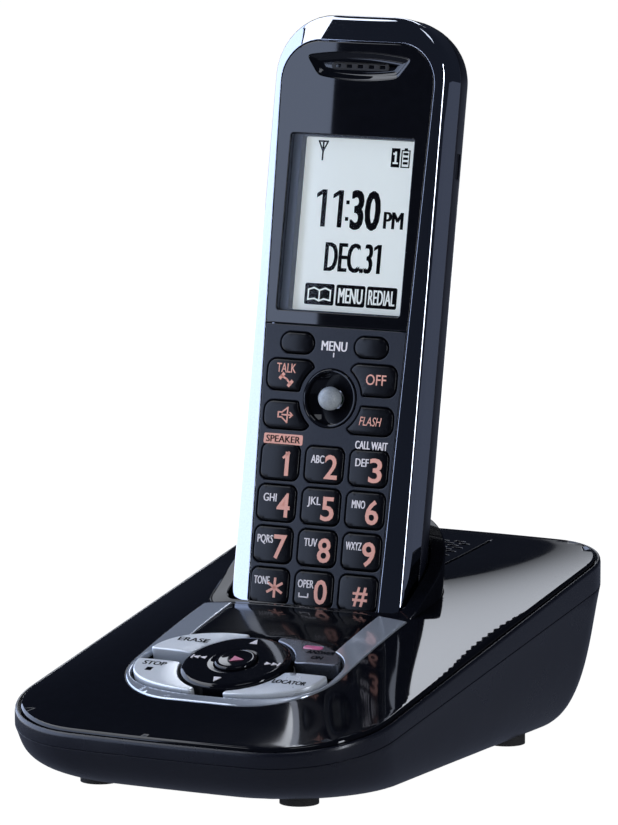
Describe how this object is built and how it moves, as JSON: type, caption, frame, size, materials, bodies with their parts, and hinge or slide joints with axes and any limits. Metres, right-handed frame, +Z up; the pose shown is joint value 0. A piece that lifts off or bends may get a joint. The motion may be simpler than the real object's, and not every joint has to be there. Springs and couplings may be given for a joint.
{
  "type": "cordless phone with base",
  "caption": "Cordless phone standing in a wedge-shaped answering base: sliding keys, tilting stick and rocker, sliding battery cover, lift-out handset.",
  "frame": {"origin": "centre of the base's footprint, at the level of its feet", "axes": "+Z up, +X to the right, +Y to the back; the long side of the footprint runs along Y"},
  "size_m": [0.097, 0.1492, 0.1746],
  "materials": {
    "gloss_black": "polished",
    "dark_case": "polished",
    "soft_black": "fine grain",
    "plate_grey": "satin",
    "key_black": "satin",
    "silver": "polished",
    "satin_silver": "satin",
    "clear": "polished",
    "display": "matt",
    "rubber": "matt",
    "board_green": "solder mask",
    "steel": "plated",
    "cell_wrap": "printed sleeve",
    "cone": "pressed",
    "lens_pink": "clear",
    "knob_grey": "satin",
    "gold": "plated"
  },
  "bodies": {
    "base": {"deck_cover": "gloss_black", "panel_trim": "silver", "control_panel": "gloss_black", "cradle_collar": "gloss_black", "upper_case": "dark_case", "lower_case": "dark_case", "rubber_feet": "rubber", "base_screws": "steel", "base_boards": "board_green", "base_speaker": "cone", "line_jack": "soft_black", "power_jack": "soft_black"},
    "handset": {"handset_front_case": "dark_case", "handset_rear_case": "soft_black", "face_panel": "gloss_black", "keypad_plate": "plate_grey", "lcd_lens": "clear", "lcd_module": "display", "earpiece_grille": "soft_black", "earpiece_speaker": "cone", "key_mat": "rubber", "handset_board": "board_green", "battery_cells": "cell_wrap", "battery_contacts": "steel", "handset_loudspeaker": "cone", "charge_pads": "gold", "handset_screws": "steel", "joystick_housing": "soft_black"},
    "key_1": {"key_1": "key_black"},
    "key_2": {"key_2": "key_black"},
    "key_3": {"key_3": "key_black"},
    "key_4": {"key_4": "key_black"},
    "key_5": {"key_5": "key_black"},
    "key_6": {"key_6": "key_black"},
    "key_7": {"key_7": "key_black"},
    "key_8": {"key_8": "key_black"},
    "key_9": {"key_9": "key_black"},
    "key_star": {"key_star": "key_black"},
    "key_0": {"key_0": "key_black"},
    "key_hash": {"key_hash": "key_black"},
    "soft_key_left": {"soft_key_left": "key_black"},
    "soft_key_right": {"soft_key_right": "key_black"},
    "talk_key": {"talk_key": "key_black"},
    "speakerphone_key": {"speakerphone_key": "key_black"},
    "off_key": {"off_key": "key_black"},
    "flash_key": {"flash_key": "key_black"},
    "stick_gimbal": {"stick_gimbal": "soft_black"},
    "stick_stem": {"stick_stem": "steel"},
    "stick_knob": {"stick_knob": "knob_grey"},
    "battery_cover": {"battery_cover": "soft_black"},
    "erase_button": {"erase_button": "satin_silver"},
    "stop_button": {"stop_button": "satin_silver"},
    "answer_button": {"answer_button": "satin_silver", "answer_led": "lens_pink"},
    "locator_button": {"locator_button": "satin_silver"},
    "play_button": {"play_button": "gloss_black"},
    "nav_pivot": {"nav_pivot": "soft_black"},
    "nav_rocker": {"nav_rocker": "gloss_black"},
    "charge_contact_left": {"charge_contact_left": "steel"},
    "charge_contact_right": {"charge_contact_right": "steel"}
  },
  "joints": [
    {"name": "handset_lift", "type": "slide", "parent": "base", "child": "handset", "axis": [0, 0.1803, 0.9836], "range_m": [0, 0.06]},
    {"name": "key_1_press", "type": "slide", "parent": "handset", "child": "key_1", "axis": [0, 0.9836, -0.1803], "range_m": [0, 0.0006], "stiffness_N_per_m": 1500},
    {"name": "key_2_press", "type": "slide", "parent": "handset", "child": "key_2", "axis": [0, 0.9836, -0.1803], "range_m": [0, 0.0006], "stiffness_N_per_m": 1500},
    {"name": "key_3_press", "type": "slide", "parent": "handset", "child": "key_3", "axis": [0, 0.9836, -0.1803], "range_m": [0, 0.0006], "stiffness_N_per_m": 1500},
    {"name": "key_4_press", "type": "slide", "parent": "handset", "child": "key_4", "axis": [0, 0.9836, -0.1803], "range_m": [0, 0.0006], "stiffness_N_per_m": 1500},
    {"name": "key_5_press", "type": "slide", "parent": "handset", "child": "key_5", "axis": [0, 0.9836, -0.1803], "range_m": [0, 0.0006], "stiffness_N_per_m": 1500},
    {"name": "key_6_press", "type": "slide", "parent": "handset", "child": "key_6", "axis": [0, 0.9836, -0.1803], "range_m": [0, 0.0006], "stiffness_N_per_m": 1500},
    {"name": "key_7_press", "type": "slide", "parent": "handset", "child": "key_7", "axis": [0, 0.9836, -0.1803], "range_m": [0, 0.0006], "stiffness_N_per_m": 1500},
    {"name": "key_8_press", "type": "slide", "parent": "handset", "child": "key_8", "axis": [0, 0.9836, -0.1803], "range_m": [0, 0.0006], "stiffness_N_per_m": 1500},
    {"name": "key_9_press", "type": "slide", "parent": "handset", "child": "key_9", "axis": [0, 0.9836, -0.1803], "range_m": [0, 0.0006], "stiffness_N_per_m": 1500},
    {"name": "key_star_press", "type": "slide", "parent": "handset", "child": "key_star", "axis": [0, 0.9836, -0.1803], "range_m": [0, 0.0006], "stiffness_N_per_m": 1500},
    {"name": "key_0_press", "type": "slide", "parent": "handset", "child": "key_0", "axis": [0, 0.9836, -0.1803], "range_m": [0, 0.0006], "stiffness_N_per_m": 1500},
    {"name": "key_hash_press", "type": "slide", "parent": "handset", "child": "key_hash", "axis": [0, 0.9836, -0.1803], "range_m": [0, 0.0006], "stiffness_N_per_m": 1500},
    {"name": "soft_key_left_press", "type": "slide", "parent": "handset", "child": "soft_key_left", "axis": [0, 0.9836, -0.1803], "range_m": [0, 0.0006], "stiffness_N_per_m": 1500},
    {"name": "soft_key_right_press", "type": "slide", "parent": "handset", "child": "soft_key_right", "axis": [0, 0.9836, -0.1803], "range_m": [0, 0.0006], "stiffness_N_per_m": 1500},
    {"name": "talk_key_press", "type": "slide", "parent": "handset", "child": "talk_key", "axis": [0, 0.9836, -0.1803], "range_m": [0, 0.0006], "stiffness_N_per_m": 1500},
    {"name": "speakerphone_key_press", "type": "slide", "parent": "handset", "child": "speakerphone_key", "axis": [0, 0.9836, -0.1803], "range_m": [0, 0.0006], "stiffness_N_per_m": 1500},
    {"name": "off_key_press", "type": "slide", "parent": "handset", "child": "off_key", "axis": [0, 0.9836, -0.1803], "range_m": [0, 0.0006], "stiffness_N_per_m": 1500},
    {"name": "flash_key_press", "type": "slide", "parent": "handset", "child": "flash_key", "axis": [0, 0.9836, -0.1803], "range_m": [0, 0.0006], "stiffness_N_per_m": 1500},
    {"name": "stick_tilt_side", "type": "hinge", "parent": "handset", "child": "stick_gimbal", "pos_m": [0, 0.01493, 0.08329], "axis": [0, 0.1803, 0.9836], "range_deg": [-6, 6], "stiffness_Nm_per_rad": 0.03},
    {"name": "stick_tilt_up", "type": "hinge", "parent": "stick_gimbal", "child": "stick_stem", "pos_m": [0, 0.01493, 0.08329], "axis": [1, 0, 0], "range_deg": [-6, 6], "stiffness_Nm_per_rad": 0.03},
    {"name": "stick_press", "type": "slide", "parent": "stick_stem", "child": "stick_knob", "axis": [0, 0.9836, -0.1803], "range_m": [0, 0.0004], "stiffness_N_per_m": 1500},
    {"name": "battery_cover_slide", "type": "slide", "parent": "handset", "child": "battery_cover", "axis": [0, -0.1803, -0.9836], "range_m": [0, 0.005]},
    {"name": "erase_button_press", "type": "slide", "parent": "base", "child": "erase_button", "axis": [0, 0.2822, -0.9594], "range_m": [0, 0.0005], "stiffness_N_per_m": 1500},
    {"name": "stop_button_press", "type": "slide", "parent": "base", "child": "stop_button", "axis": [0, 0.2822, -0.9594], "range_m": [0, 0.0005], "stiffness_N_per_m": 1500},
    {"name": "answer_button_press", "type": "slide", "parent": "base", "child": "answer_button", "axis": [0, 0.2822, -0.9594], "range_m": [0, 0.0005], "stiffness_N_per_m": 1500},
    {"name": "locator_button_press", "type": "slide", "parent": "base", "child": "locator_button", "axis": [0, 0.2822, -0.9594], "range_m": [0, 0.0005], "stiffness_N_per_m": 1500},
    {"name": "play_button_press", "type": "slide", "parent": "base", "child": "play_button", "axis": [0, 0.2822, -0.9594], "range_m": [0, 0.0005], "stiffness_N_per_m": 1500},
    {"name": "rocker_tilt_front", "type": "hinge", "parent": "base", "child": "nav_pivot", "pos_m": [0, -0.03507, 0.02405], "axis": [1, 0, 0], "range_deg": [-2.5, 2.5], "stiffness_Nm_per_rad": 0.4},
    {"name": "rocker_tilt_side", "type": "hinge", "parent": "nav_pivot", "child": "nav_rocker", "pos_m": [0, -0.03507, 0.02405], "axis": [0, 0.9594, 0.2822], "range_deg": [-2.5, 2.5], "stiffness_Nm_per_rad": 0.4},
    {"name": "charge_contact_left_flex", "type": "hinge", "parent": "base", "child": "charge_contact_left", "pos_m": [-0.008, 0.01211, 0.01635], "axis": [1, 0, 0], "range_deg": [0, 3], "stiffness_Nm_per_rad": 0.1},
    {"name": "charge_contact_right_flex", "type": "hinge", "parent": "base", "child": "charge_contact_right", "pos_m": [0.008, 0.01211, 0.01635], "axis": [1, 0, 0], "range_deg": [0, 3], "stiffness_Nm_per_rad": 0.1}
  ]
}
